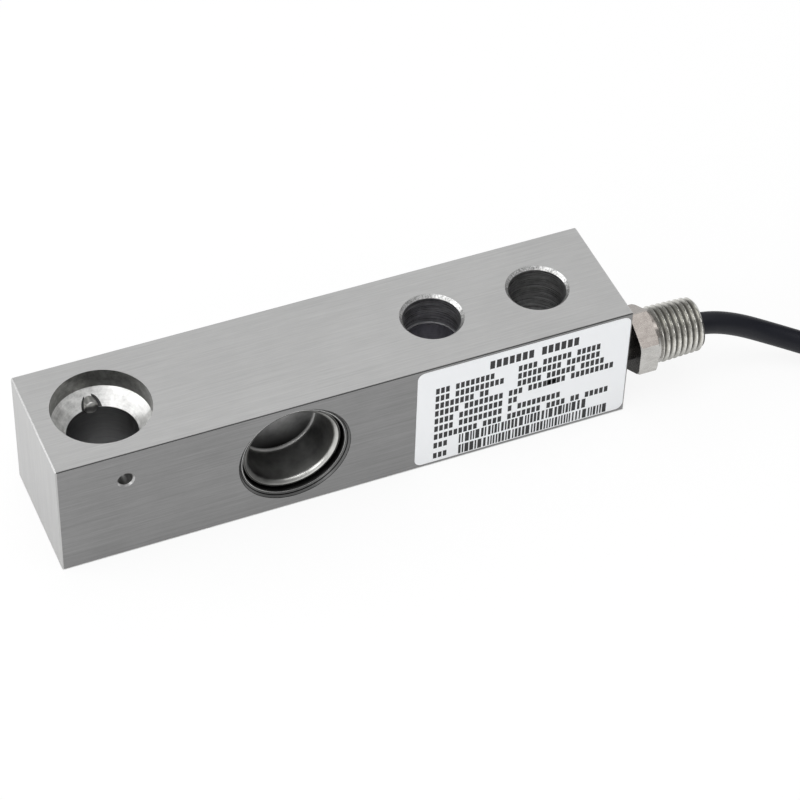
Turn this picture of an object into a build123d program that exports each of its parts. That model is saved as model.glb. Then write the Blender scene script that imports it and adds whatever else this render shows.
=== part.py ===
# Single-ended shear beam load cell: a steel bar, loaded at one end and bolted down at the other.
# Millimetres. X runs along the bar towards the cable, Y to its back, Z up.
# The origin is on the load hole's axis, in the plane of the bar's bottom face.

import math
import os

from build123d import *

# Bar
beam_length = 133.2
beam_width = 30.4
beam_height = 30.0
edge_break = 0.3
load_end = 15.2

# Load hole: a counterbore, a conical seat and a through bore
load_bore_radius = 7.8
counterbore_radius = 11.0
counterbore_depth = 4.7
seat_angle = 45.0

# Stop pin, pressed in through a cross hole drilled from the front face
stop_pin_radius = 1.62
stop_pin_drop = 7.8
stop_pin_stand_out = 1.1
stop_pin_seat = 5.0
stop_pin_dome = 0.7
cross_hole_break = 0.4

# Mounting holes, the inner one stepped, placed from the cable end
hole_end_distance = 16.4
hole_pitch = 25.4
mount_hole_radius = 6.5
mount_hole_break = 0.7
step_radius = 6.25
step_depth = 8.0

# Gauge pockets, one in each side face, with a web left between them
pocket_x = 38.2
pocket_z = 15.6
pocket_radius = 12.1
pocket_bevel = 0.87
web_thickness = 4.0

# Sealing cups, drawn from thin sheet: a skirt welded to the bar, one convolution and a bell mouth
cup_sheet = 0.3
cup_valley_depth = 3.8
cup_crest_depth = 2.2
cup_crest_radius = 11.3
cup_crest_width = 0.25
cup_mouth_curve = 0.95
cup_depth = 11.35
cup_floor_radius = 9.35

# Gauges and circuits on the web
gauge_side = 7.2
gauge_backing = 0.12
grid_foil = 0.06
grid_line = 0.22
grid_pitch = 0.5
grid_lines = 5
grid_length = 2.6
grid_offset = 1.9
tab_size = 0.9
ring_outer = 9.0
ring_inner = 5.9
ring_thickness = 0.6
ribbon_width = 0.5
ribbon_thickness = 0.1
ribbon_run = 1.2
ribbon_inset = 0.9
resistor_length = 2.0
resistor_width = 1.25
resistor_height = 0.45
resistor_place = 7.4
resistor_angles = (60, 120, 240, 300)

# Wires inside the bar
wire_radius = 0.3
wire_pitch = 0.7
wire_gap = 0.05
wire_count = 4
wire_sides = 8
link_hole_radius = 1.1
link_hole_place = 10.2

# Fitting: neck, hexagon and taper threaded stub, offset to clear the mounting holes
fitting_offset = 9.2
fitting_height = 15.0
neck_radius = 4.15
neck_stand_off = 2.4
neck_seat = 6.0
hex_flats = 14.0
hex_length = 4.6
hex_turned_radius = 7.6
hex_break_angle = 30.0
relief_radius = 5.9
relief_length = 1.2
stub_length = 10.1
stub_radius = 6.62
stub_taper = 1 / 32
stub_break = 0.5
stub_bore_radius = 4.6
stub_bore_depth = 15.8
stub_bore_break = 0.5
neck_bore_radius = 3.1
fit_gap = 0.05

# Wire channel and feedthrough in the bar's end
channel_radius = 1.5
header_radius = 3.35
header_length = 2.2
header_gap = 0.3
header_bore_depth = 4.5
glass_radius = 2.5
glass_sink = 0.2
pin_radius = 0.3
pin_reach = 1.0
wire_fan = 1.2
pin_circle = 1.5
pin_count = 4

# Cable and its seal in the stub
cable_radius = 2.6
core_radius = 0.55
core_strip = 4.0
drain_radius = 0.25
washer_thickness = 0.8
washer_gap = 0.15
bush_length = 4.0
screw_length = 2.5
screw_slot_width = 1.2
screw_slot_depth = 0.9

# Label
label_end_gap = 0.5
label_width = 51.0
label_height = 28.4
label_bottom = 0.9
label_thickness = 0.12
label_corner = 1.75

# Free cable: its route to the oblong coil, the coil and its tie, and the bare leads at its end
coil_fold_radius = 18.2
coil_straight = 88.0
coil_columns = 2
coil_layers = 5
coil_gap = 0.3
coil_bevel = 1.5
tie_width = 4.0
tie_thickness = 0.8
tie_corner = 1.4
end_run = 46.0
end_skew = 4.0
tail_length = 12.0
sleeve_radius = 3.0
sleeve_length = 12.0
lead_radius = 0.5
lead_length = 20.0
lead_straight = 3.0
lead_slope = 6.0
lead_pitch = 1.05
lead_fan = 1.6
lead_drop = 0.8
tip_radius = 0.35
tip_length = 5.0
cord_bend_share = 0.45

os.makedirs("parts", exist_ok=True)


def save(part, name):
    """Labels one piece and writes it to its own file."""
    part.label = name
    export_step(part, f"parts/{name}.step")


# Places worked out from the sizes above
right_end = beam_length - load_end
half_width = beam_width / 2
seat_depth = (counterbore_radius - load_bore_radius) / math.tan(math.radians(seat_angle))
bore_top = beam_height - counterbore_depth - seat_depth
pin_height = beam_height - stop_pin_drop
web_half = web_thickness / 2
pocket_depth = half_width - web_half
mount_holes = (right_end - hole_end_distance - hole_pitch, right_end - hole_end_distance)
end_face = Plane(origin=(right_end, -fitting_offset, fitting_height), x_dir=(0, 1, 0), z_dir=(1, 0, 0))


def side_plane(side, x, z, inset=0.0):
    """A plane on the front (side -1) or back (side 1) face, facing outwards."""
    return Plane(origin=(x, side * (half_width - inset), z), x_dir=(-side, 0, 0), z_dir=(0, side, 0))


def bored_section(points, x):
    """Cuts a turned hole on a vertical axis from its half section."""
    with BuildSketch(Plane(origin=(x, 0, 0), x_dir=(1, 0, 0), z_dir=(0, -1, 0))) as section:
        with BuildLine():
            Polyline(*points, close=True)
        make_face()
    revolve(section.sketch, axis=Axis((x, 0, 0), (0, 0, 1)), mode=Mode.SUBTRACT)


def mount_hole(x, lower_radius, split):
    """Cuts a mounting hole with both mouths chamfered; its radius may change at one height."""
    upper_radius = mount_hole_radius
    rim = beam_height - mount_hole_break
    bored_section(
        [
            (0, 0),
            (lower_radius + mount_hole_break, 0),
            (lower_radius, mount_hole_break),
            (lower_radius, split),
            (0, split),
        ],
        x,
    )
    bored_section(
        [
            (0, split),
            (upper_radius, split),
            (upper_radius, rim),
            (upper_radius + mount_hole_break, beam_height),
            (0, beam_height),
        ],
        x,
    )


# Bar
with BuildPart() as beam:
    with BuildSketch():
        with Locations((beam_length / 2 - load_end, 0)):
            Rectangle(beam_length, beam_width)
    extrude(amount=beam_height)
    chamfer(beam.edges(), edge_break)

    bored_section(
        [
            (0, 0),
            (load_bore_radius, 0),
            (load_bore_radius, bore_top),
            (counterbore_radius, beam_height - counterbore_depth),
            (counterbore_radius, beam_height),
            (0, beam_height),
        ],
        0,
    )
    mount_hole(mount_holes[0], step_radius, beam_height - step_depth)
    mount_hole(mount_holes[1], mount_hole_radius, beam_height / 2)

    # Cross hole: open at the front face, across the load hole and blind in the back wall
    cross_depth = half_width + load_bore_radius + stop_pin_seat
    with BuildSketch(side_plane(-1, 0, pin_height)):
        Circle(stop_pin_radius)
    extrude(amount=-cross_depth, mode=Mode.SUBTRACT)
    with BuildSketch(side_plane(-1, 0, pin_height)):
        Circle(stop_pin_radius + cross_hole_break)
    extrude(amount=-cross_hole_break, taper=45, mode=Mode.SUBTRACT)

    for side in (-1, 1):
        with BuildSketch(side_plane(side, pocket_x, pocket_z)):
            Circle(pocket_radius)
        extrude(amount=-pocket_depth, mode=Mode.SUBTRACT)
        with BuildSketch(side_plane(side, pocket_x, pocket_z)):
            Circle(pocket_radius + pocket_bevel)
        extrude(amount=-pocket_bevel, taper=45, mode=Mode.SUBTRACT)

    # Hole through the web for the link wires
    with BuildSketch(side_plane(-1, pocket_x + link_hole_place, pocket_z, half_width)):
        Circle(link_hole_radius)
    extrude(amount=web_thickness, both=True, mode=Mode.SUBTRACT)

    # Fitting bore, feedthrough bore and wire channel, one behind the other
    channel_length = right_end - pocket_x - pocket_radius / 2
    for radius, depth in (
        (neck_radius + fit_gap, neck_seat),
        (header_radius + fit_gap, neck_seat + header_bore_depth),
        (channel_radius, channel_length),
    ):
        with BuildSketch(end_face):
            Circle(radius)
        extrude(amount=-depth, mode=Mode.SUBTRACT)
save(beam.part, "beam_body")


# Load stop pin
with BuildPart() as stop_pin:
    pin_tip = load_bore_radius - stop_pin_stand_out
    pin_plane = side_plane(1, 0, pin_height, half_width - pin_tip)
    with BuildSketch(pin_plane):
        Circle(stop_pin_radius)
    extrude(amount=stop_pin_stand_out + stop_pin_seat)
    chamfer(stop_pin.edges().group_by(Axis.Y)[0], stop_pin_dome)
save(stop_pin.part, "load_stop_pin")


# Sealing cups, each drawn about the middle of its sheet; the bell mouth is two chords of its arc
skirt_radius = pocket_radius - fit_gap - cup_sheet / 2
mouth_outer = cup_crest_radius - cup_crest_width
mouth_half_turn = math.radians(45)
cup_line = [
    (skirt_radius, pocket_bevel),
    (skirt_radius, cup_valley_depth),
    (cup_crest_radius, cup_valley_depth),
    (cup_crest_radius, cup_crest_depth),
    (mouth_outer, cup_crest_depth),
    (
        mouth_outer - cup_mouth_curve * math.sin(mouth_half_turn),
        cup_crest_depth + cup_mouth_curve * (1 - math.cos(mouth_half_turn)),
    ),
    (mouth_outer - cup_mouth_curve, cup_crest_depth + cup_mouth_curve),
    (cup_floor_radius, cup_depth),
    (0, cup_depth),
]


def beside(points, gap):
    """The line at a distance beside a bent line."""
    vectors = [Vector(*point) for point in points]
    ways = [(after - before).normalized() for before, after in zip(vectors, vectors[1:])]
    sides = [Vector(-way.Y, way.X) for way in ways]
    line = [vectors[0] + sides[0] * gap]
    for corner, before, after in zip(vectors[1:], sides, sides[1:]):
        line.append(corner + (before + after) * (gap / (1 + before.dot(after))))
    line.append(vectors[-1] + sides[-1] * gap)
    return line


def sealing_cup(side, name):
    """A drawn cup whose skirt is welded round the pocket and whose wall runs down to the web."""
    section = Plane(origin=(pocket_x, side * half_width, pocket_z), x_dir=(-side, 0, 0), z_dir=(0, 0, 1))
    outer = beside(cup_line, cup_sheet / 2)
    inner = beside(cup_line, -cup_sheet / 2)
    with BuildPart() as cup:
        with BuildSketch(section):
            with BuildLine():
                Polyline(*outer, *reversed(inner), close=True)
            make_face()
        revolve(axis=Axis((pocket_x, 0, pocket_z), (0, 1, 0)))
    save(cup.part, name)


sealing_cup(-1, "front_sealing_cup")
sealing_cup(1, "rear_sealing_cup")


# Gauges, circuits and their leads, the same on both faces of the web
def web_plane(side, height=0.0):
    """A plane on one face of the web, or at a height above it."""
    return side_plane(side, pocket_x, pocket_z, half_width - web_half - height)


def strain_gauge(side, name):
    """A foil shear gauge: two grids at right angles, each at 45 degrees, with four solder tabs."""
    with BuildPart() as gauge:
        with BuildSketch(web_plane(side)):
            Rectangle(gauge_side, gauge_side)
        extrude(amount=gauge_backing)
        with BuildSketch(web_plane(side, gauge_backing)):
            for slope in (45, 135):
                with Locations(Location((0, 0, 0), (0, 0, slope))):
                    with Locations((grid_offset * math.sqrt(0.5), grid_offset * math.sqrt(0.5))):
                        with GridLocations(0, grid_pitch, 1, grid_lines):
                            Rectangle(grid_length, grid_line)
            corner = gauge_side - tab_size - 2 * grid_line
            with GridLocations(corner, corner, 2, 2):
                Rectangle(tab_size, tab_size)
        extrude(amount=grid_foil)
    save(gauge.part, name)


def terminal_ring(side, name):
    """A printed circuit ring bonded to the web round the gauge."""
    with BuildPart() as ring:
        with BuildSketch(web_plane(side)):
            Circle(ring_outer)
            Circle(ring_inner, mode=Mode.SUBTRACT)
        extrude(amount=ring_thickness)
    save(ring.part, name)


def ribbon_leads(side, name):
    """Four flat leads that step up from the gauge's tabs to the ring."""
    reach = gauge_side / 2 - tab_size / 2 - grid_line
    start = math.hypot(reach, reach)
    low = gauge_backing + grid_foil
    rise = ring_inner - ribbon_inset / 2
    with BuildPart() as ribbons:
        for turn in (45, 135, 225, 315):
            base = web_plane(side)
            outwards = base.x_dir * math.cos(math.radians(turn)) + base.y_dir * math.sin(math.radians(turn))
            with BuildSketch(Plane(origin=base.origin, x_dir=outwards, z_dir=outwards.cross(base.z_dir))):
                with BuildLine():
                    Polyline(
                        (start, low),
                        (rise, low),
                        (rise, ring_thickness),
                        (ring_inner + ribbon_run, ring_thickness),
                        (ring_inner + ribbon_run, ring_thickness + ribbon_thickness),
                        (rise - ribbon_thickness, ring_thickness + ribbon_thickness),
                        (rise - ribbon_thickness, low + ribbon_thickness),
                        (start, low + ribbon_thickness),
                        close=True,
                    )
                make_face()
            extrude(amount=ribbon_width / 2, both=True)
    save(ribbons.part, name)


strain_gauge(-1, "front_strain_gauge")
strain_gauge(1, "rear_strain_gauge")
terminal_ring(-1, "front_terminal_ring")
terminal_ring(1, "rear_terminal_ring")
ribbon_leads(-1, "front_ribbon_leads")
ribbon_leads(1, "rear_ribbon_leads")

with BuildPart() as resistors:
    with BuildSketch(web_plane(-1, ring_thickness)):
        for angle in resistor_angles:
            with PolarLocations(resistor_place, 1, start_angle=angle):
                Rectangle(resistor_width, resistor_length)
    extrude(amount=resistor_height)
save(resistors.part, "trim_resistors")


# Wires
def thin_wire(points, radius):
    """A thin wire along straight runs with mitred corners, of few sides to keep it light."""
    with BuildLine() as path:
        Polyline(*points)
    with BuildSketch(Plane(origin=path.line @ 0, z_dir=path.line % 0)) as section:
        RegularPolygon(radius, wire_sides)
    sweep(section.sketch, path=path.line, transition=Transition.RIGHT)


wire_level = web_half + ring_thickness + wire_radius + wire_gap
wire_turn_x = pocket_x + (pocket_radius + cup_floor_radius + cup_sheet) / 2 + wire_radius
pad_x = pocket_x + ring_outer - 2 * wire_radius
header_back = right_end - neck_seat - header_length - header_gap
header_front = header_back + header_length
pin_start = header_back - pin_reach
pin_end = header_front + pin_reach
wire_end = pin_start - wire_radius
wire_rows = [(index - (wire_count - 1) / 2) * wire_pitch for index in range(wire_count)]
pin_angles = [45 + 360 / pin_count * index for index in range(pin_count)]


def pin_place(index):
    """Offsets of one feedthrough pin from the fitting's axis, along Y and Z."""
    turn = math.radians(pin_angles[index])
    return pin_circle * math.cos(turn), pin_circle * math.sin(turn)


# The low wires go to the low pins and the high ones to the high pins, so that none cross
pin_order = sorted(range(pin_count), key=lambda index: pin_place(index)[1] > 0)

with BuildPart() as bridge_wires:
    for index, lift in zip(pin_order, wire_rows):
        pin_y, pin_z = pin_place(index)
        thin_wire(
            [
                (pad_x, -wire_level, fitting_height + lift),
                (wire_turn_x, -wire_level, fitting_height + lift),
                (wire_turn_x, -fitting_offset, fitting_height + lift),
                (wire_end - wire_fan, -fitting_offset, fitting_height + lift),
                (wire_end, pin_y - fitting_offset, fitting_height + pin_z),
            ],
            wire_radius,
        )
save(bridge_wires.part, "bridge_wires")

with BuildPart() as link_wires:
    for lift in (-wire_pitch / 2, wire_pitch / 2):
        thin_wire(
            [
                (pad_x, wire_level, pocket_z + lift),
                (pocket_x + link_hole_place, wire_level, pocket_z + lift),
                (pocket_x + link_hole_place, web_half + wire_gap - wire_level, pocket_z + lift),
            ],
            wire_radius,
        )
save(link_wires.part, "rear_link_wires")


# Feedthrough: a steel shell, a glass bead and the pins sealed in it
def along_fitting(x):
    """A plane across the fitting's axis at a place along the bar."""
    return end_face.offset(x - right_end)


with BuildPart() as shell:
    with BuildSketch(along_fitting(header_back)):
        Circle(header_radius)
        Circle(glass_radius, mode=Mode.SUBTRACT)
    extrude(amount=header_length)
save(shell.part, "feedthrough_shell")

with BuildPart() as glass:
    with BuildSketch(along_fitting(header_back + glass_sink)):
        Circle(glass_radius)
        with PolarLocations(pin_circle, pin_count, start_angle=pin_angles[0]):
            RegularPolygon(pin_radius, wire_sides, mode=Mode.SUBTRACT)
    extrude(amount=header_length - 2 * glass_sink)
save(glass.part, "feedthrough_glass")

with BuildPart() as pins:
    with BuildSketch(along_fitting(pin_start)):
        with PolarLocations(pin_circle, pin_count, start_angle=pin_angles[0]):
            RegularPolygon(pin_radius, wire_sides)
    extrude(amount=pin_end - pin_start)
save(pins.part, "feedthrough_pins")


# Fitting
hex_start = right_end + neck_stand_off
hex_end = hex_start + hex_length
stub_start = hex_end + relief_length
stub_end = stub_start + stub_length + 2 * stub_break
stub_tip_radius = stub_radius - (stub_end - stub_start) * stub_taper
stub_bore_start = stub_end - stub_bore_depth
neck_start = right_end - neck_seat
hex_corner_radius = hex_flats / 2 / math.cos(math.radians(30))
hex_break_length = (hex_corner_radius - hex_turned_radius) * math.tan(math.radians(hex_break_angle))
fitting_axis = Axis((0, -fitting_offset, fitting_height), (1, 0, 0))
fitting_section = Plane(origin=(0, -fitting_offset, fitting_height), x_dir=(1, 0, 0), z_dir=(0, -1, 0))

with BuildPart() as fitting:
    with BuildSketch(along_fitting(hex_start)):
        RegularPolygon(hex_flats / 2, 6, major_radius=False, rotation=30)
    extrude(amount=hex_length)
    with BuildSketch(fitting_section):
        with BuildLine():
            Polyline(
                (hex_start, 0),
                (hex_start, hex_turned_radius),
                (hex_start + hex_break_length, hex_corner_radius),
                (hex_end - hex_break_length, hex_corner_radius),
                (hex_end, hex_turned_radius),
                (hex_end, 0),
                close=True,
            )
        make_face()
    revolve(axis=fitting_axis, mode=Mode.INTERSECT)
    with BuildSketch(fitting_section):
        with BuildLine():
            Polyline(
                (neck_start, 0),
                (neck_start, neck_radius),
                (hex_start, neck_radius),
                (hex_start, 0),
                close=True,
            )
        make_face()
        with BuildLine():
            Polyline(
                (hex_end, 0),
                (hex_end, relief_radius),
                (stub_start, relief_radius),
                (stub_start, stub_radius - stub_break),
                (stub_start + stub_break, stub_radius),
                (stub_end - stub_break, stub_tip_radius),
                (stub_end, stub_tip_radius - stub_break),
                (stub_end, 0),
                close=True,
            )
        make_face()
    revolve(axis=fitting_axis)
    with BuildSketch(fitting_section):
        with BuildLine():
            Polyline(
                (neck_start, 0),
                (neck_start, neck_bore_radius),
                (stub_bore_start, neck_bore_radius),
                (stub_bore_start, stub_bore_radius),
                (stub_end - stub_bore_break, stub_bore_radius),
                (stub_end, stub_bore_radius + stub_bore_break),
                (stub_end, 0),
                close=True,
            )
        make_face()
    revolve(axis=fitting_axis, mode=Mode.SUBTRACT)
save(fitting.part, "cable_fitting")


# Seal: a rubber bush between two washers, squeezed by a hollow screw
bush_start = stub_bore_start + washer_thickness
bush_end = bush_start + bush_length
screw_start = bush_end + washer_thickness
screw_end = screw_start + screw_length

with BuildPart() as washers:
    for start in (stub_bore_start, bush_end):
        with BuildSketch(along_fitting(start)):
            Circle(stub_bore_radius - washer_gap)
            Circle(cable_radius + washer_gap, mode=Mode.SUBTRACT)
        extrude(amount=washer_thickness)
save(washers.part, "seal_washers")

with BuildPart() as bush:
    with BuildSketch(along_fitting(bush_start)):
        Circle(stub_bore_radius)
        Circle(cable_radius, mode=Mode.SUBTRACT)
    extrude(amount=bush_length)
save(bush.part, "seal_bush")

with BuildPart() as screw:
    with BuildSketch(along_fitting(screw_start)):
        Circle(stub_bore_radius)
        Circle(cable_radius + washer_gap, mode=Mode.SUBTRACT)
    extrude(amount=screw_length)
    with BuildSketch(along_fitting(screw_end)):
        Rectangle(2 * stub_bore_radius, screw_slot_width)
    extrude(amount=-screw_slot_depth, mode=Mode.SUBTRACT)
save(screw.part, "gland_screw")


# Stripped end of the cable inside the fitting
jacket_start = pin_end + core_strip

with BuildPart() as jacket_end:
    with BuildSketch(along_fitting(jacket_start)):
        Circle(cable_radius)
    extrude(amount=screw_end - jacket_start)
save(jacket_end.part, "cable_jacket_end")

for index, colour in enumerate(("red", "black", "green", "white")):
    core_y, core_z = pin_place(index)
    with BuildPart() as core:
        with BuildSketch(along_fitting(pin_end)):
            with Locations((core_y, core_z)):
                RegularPolygon(core_radius, wire_sides)
        extrude(amount=core_strip)
    save(core.part, f"{colour}_core")

with BuildPart() as drain:
    drain_step = (glass_radius + header_radius) / 2
    thin_wire(
        [
            (jacket_start, -fitting_offset, fitting_height),
            (pin_end, -fitting_offset, fitting_height),
            (header_front + drain_radius, -fitting_offset, fitting_height + drain_step),
        ],
        drain_radius,
    )
save(drain.part, "drain_wire")


# Rating label, a bare film on the front face
with BuildPart() as label:
    label_centre_x = right_end - label_end_gap - label_width / 2
    label_centre_z = label_bottom + label_height / 2
    with BuildSketch(side_plane(-1, label_centre_x, label_centre_z)):
        RectangleRounded(label_width, label_height, label_corner)
    extrude(amount=label_thickness)
save(label.part, "rating_label")


# Free cable. It leaves the screw along the axis, droops to the floor, and turns into the coil,
# which is oblong and lies in line with the bar.
coil_start_x = 203.0
coil_y = -9.4
entry_angle = 250.0
coil_outer_turn = coil_fold_radius + (coil_columns - 1) * cable_radius
coil_outer = coil_outer_turn + cable_radius
coil_inner = coil_fold_radius - coil_columns * cable_radius
coil_width = coil_outer - coil_inner
coil_height = coil_layers * 2 * cable_radius
turn = math.radians(entry_angle)
tangent_x = coil_start_x + coil_outer_turn * math.cos(turn)
tangent_y = coil_y + coil_outer_turn * math.sin(turn)
approach = math.sqrt((coil_outer + coil_gap) ** 2 - (coil_outer_turn - cable_radius) ** 2)

cable_route = [
    (screw_end, -fitting_offset, fitting_height),
    (137.4, -9.2, 15.0),
    (146.3, -9.8, 12.7),
    (157.3, -12.0, 7.0),
    (171.5, -20.0, cable_radius),
    (tangent_x + approach * math.sin(turn), tangent_y - approach * math.cos(turn), cable_radius),
]


def bend_radii(points, share):
    """The arc at each corner, as large as the shorter of its two runs allows."""
    radii = []
    for before, corner, after in zip(points, points[1:], points[2:]):
        run_in = Vector(corner) - Vector(before)
        run_out = Vector(after) - Vector(corner)
        half_turn = math.radians(run_in.get_angle(run_out)) / 2
        radii.append(share * min(run_in.length, run_out.length) / math.tan(half_turn))
    return radii


route_radii = bend_radii(cable_route, cord_bend_share)
print("cable arcs", [round(radius, 1) for radius in route_radii], "least wanted", 10 * cable_radius)

with BuildPart() as cable_run:
    with BuildLine() as path:
        FilletPolyline(*cable_route, radius=route_radii)
    with BuildSketch(Plane(origin=path.line @ 0, z_dir=path.line % 0)) as section:
        Circle(cable_radius)
    sweep(section.sketch, path=path.line)
save(cable_run.part, "cable_run")

tie_x = coil_start_x + coil_straight / 2
tie_y = coil_y + coil_fold_radius

with BuildPart() as coil:
    with BuildSketch(Plane.XY):
        with Locations((coil_start_x + coil_straight / 2, coil_y)):
            SlotCenterToCenter(coil_straight, 2 * coil_outer)
            SlotCenterToCenter(coil_straight, 2 * coil_inner, mode=Mode.SUBTRACT)
    extrude(amount=coil_height)
    chamfer(coil.faces().filter_by(Axis.Z).edges(), coil_bevel)
    with Locations((tie_x, tie_y, 0)):
        Box(tie_width, coil_width + 2 * tie_thickness, 2 * tie_thickness, mode=Mode.SUBTRACT)
save(coil.part, "cable_coil")

# Tie, a closed band round the coil's back run
with BuildPart() as tie:
    with BuildSketch(Plane.YZ.offset(tie_x - tie_width / 2)):
        with Locations((tie_y, (coil_height + tie_thickness) / 2)):
            RectangleRounded(coil_width + 2 * tie_thickness, coil_height + tie_thickness, tie_corner)
            Rectangle(coil_width, coil_height - tie_thickness, mode=Mode.SUBTRACT)
    extrude(amount=tie_width)
save(tie.part, "cable_tie")


# The end of the cable lies along the coil's front run, on top, with its sleeve and bare leads
end_turn = math.radians(end_skew)
end_way = Vector(math.cos(end_turn), -math.sin(end_turn), 0)
end_side = Vector(math.sin(end_turn), math.cos(end_turn), 0)
end_middle = Vector(coil_start_x + end_run, coil_y - coil_fold_radius, 0)


def on_top(along, aside, level):
    """A point over the coil: along the cable's end from the sleeve's far face, aside of it, and up."""
    return end_middle + end_way * along + end_side * aside + Vector(0, 0, level)


def end_piece(start, length, radius):
    """A straight round piece of the cable's end."""
    level = coil_height + sleeve_radius
    with BuildSketch(Plane(origin=on_top(start, 0, level), z_dir=end_way)) as section:
        Circle(radius)
    extrude(section.sketch, amount=length)


with BuildPart() as tail:
    end_piece(-sleeve_length - tail_length, tail_length, cable_radius)
save(tail.part, "cable_tail")

with BuildPart() as sleeve:
    end_piece(-sleeve_length, sleeve_length, sleeve_radius)
save(sleeve.part, "end_sleeve")

lead_level = coil_height + lead_radius
sleeve_level = coil_height + sleeve_radius - lead_drop
lead_names = ("red_lead", "white_lead", "shield_lead", "black_lead", "green_lead")
lead_paths = []
for rank, name in enumerate(lead_names):
    places_aside = rank - (len(lead_names) - 1) / 2
    close = places_aside * lead_pitch
    wide = places_aside * lead_fan
    middle = close + (wide - close) * lead_slope / (lead_length - lead_straight)
    points = [
        on_top(0, close, sleeve_level),
        on_top(lead_straight, close, sleeve_level),
        on_top(lead_straight + lead_slope, middle, lead_level),
        on_top(lead_length, wide, lead_level),
    ]
    lead_paths.append(points)
    with BuildPart() as lead:
        thin_wire(points, lead_radius)
    save(lead.part, name)

with BuildPart() as tips:
    for points in lead_paths:
        heading = (points[-1] - points[-2]).normalized()
        with BuildSketch(Plane(origin=points[-1], z_dir=heading)) as section:
            RegularPolygon(tip_radius, wire_sides)
        extrude(section.sketch, amount=tip_length)
save(tips.part, "tinned_tips")

print("cable run length", round(cable_run.part.volume / (math.pi * cable_radius**2), 1))
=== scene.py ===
import math
import random

import bpy
from mathutils import Matrix, Vector


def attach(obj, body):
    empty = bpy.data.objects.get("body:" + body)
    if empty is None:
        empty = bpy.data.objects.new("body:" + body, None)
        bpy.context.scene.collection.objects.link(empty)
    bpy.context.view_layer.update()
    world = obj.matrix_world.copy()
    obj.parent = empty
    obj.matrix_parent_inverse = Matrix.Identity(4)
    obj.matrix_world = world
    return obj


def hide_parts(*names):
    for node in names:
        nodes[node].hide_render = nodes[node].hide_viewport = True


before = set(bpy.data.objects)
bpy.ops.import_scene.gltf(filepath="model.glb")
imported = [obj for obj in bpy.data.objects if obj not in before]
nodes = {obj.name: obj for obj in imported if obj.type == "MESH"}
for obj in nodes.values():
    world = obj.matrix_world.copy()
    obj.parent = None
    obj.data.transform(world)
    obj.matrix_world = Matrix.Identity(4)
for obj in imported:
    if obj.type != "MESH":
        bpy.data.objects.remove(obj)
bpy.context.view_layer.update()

# Shapes are worked out in millimetres, and Blender gets metres.
MM = 0.001


# Camera. It stands in front of the load end and to its left, and looks down at 45 degrees.
# The values come from the straight edges of the bar in the photograph.
camera_data = bpy.data.cameras.new("camera")
camera_data.sensor_width = 36.0
camera_data.lens = 137.47
camera_data.clip_start = 0.01
camera = bpy.data.objects.new("camera", camera_data)
bpy.context.scene.collection.objects.link(camera)
camera_place = Vector((-0.12841, -0.43869, 0.49167))
camera_right = Vector((0.92183, -0.38671, 0.02598))
camera_up = Vector((0.25790, 0.66204, 0.70370))
camera_back = camera_right.cross(camera_up)
camera_turn = Matrix((camera_right, camera_up, camera_back)).transposed()
camera.matrix_world = Matrix.Translation(camera_place) @ camera_turn.to_4x4()
bpy.context.scene.camera = camera
bpy.context.scene.view_settings.view_transform = "Standard"


# Floor. The bar lies on a plain white sheet, which keeps only a faint shadow of it.
class Value:
    """A socket of a shader tree. Sums and products of it add their Math nodes."""

    def __init__(self, finish, socket):
        self.finish = finish
        self.socket = socket

    def math(self, operation, *others):
        inputs = {0: self}
        for index, other in enumerate(others):
            inputs[index + 1] = other
        return self.finish.node("ShaderNodeMath", {"operation": operation}, inputs)

    def __add__(self, other):
        return self.math("ADD", other)

    __radd__ = __add__

    def __sub__(self, other):
        return self.math("SUBTRACT", other)

    def __rsub__(self, other):
        return self.finish.node("ShaderNodeMath", {"operation": "SUBTRACT"}, {0: other, 1: self})

    def __mul__(self, other):
        return self.math("MULTIPLY", other)

    __rmul__ = __mul__

    def __gt__(self, other):
        return self.math("GREATER_THAN", other)

    def __lt__(self, other):
        return self.math("LESS_THAN", other)

    def size(self):
        """The value without its sign."""
        return self.math("ABSOLUTE")

    def limited(self, low, high):
        """0 at low, 1 at high and straight between them."""
        inputs = {0: self, 1: low, 2: high, 3: 0.0, 4: 1.0}
        return self.finish.node("ShaderNodeMapRange", {"clamp": True}, inputs)

    def contrast(self, gain, middle=0.5):
        """A noise with its swings about its mean made larger, and kept within 0 and 1."""
        return ((self - 0.5) * gain + middle).limited(0.0, 1.0)


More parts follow.
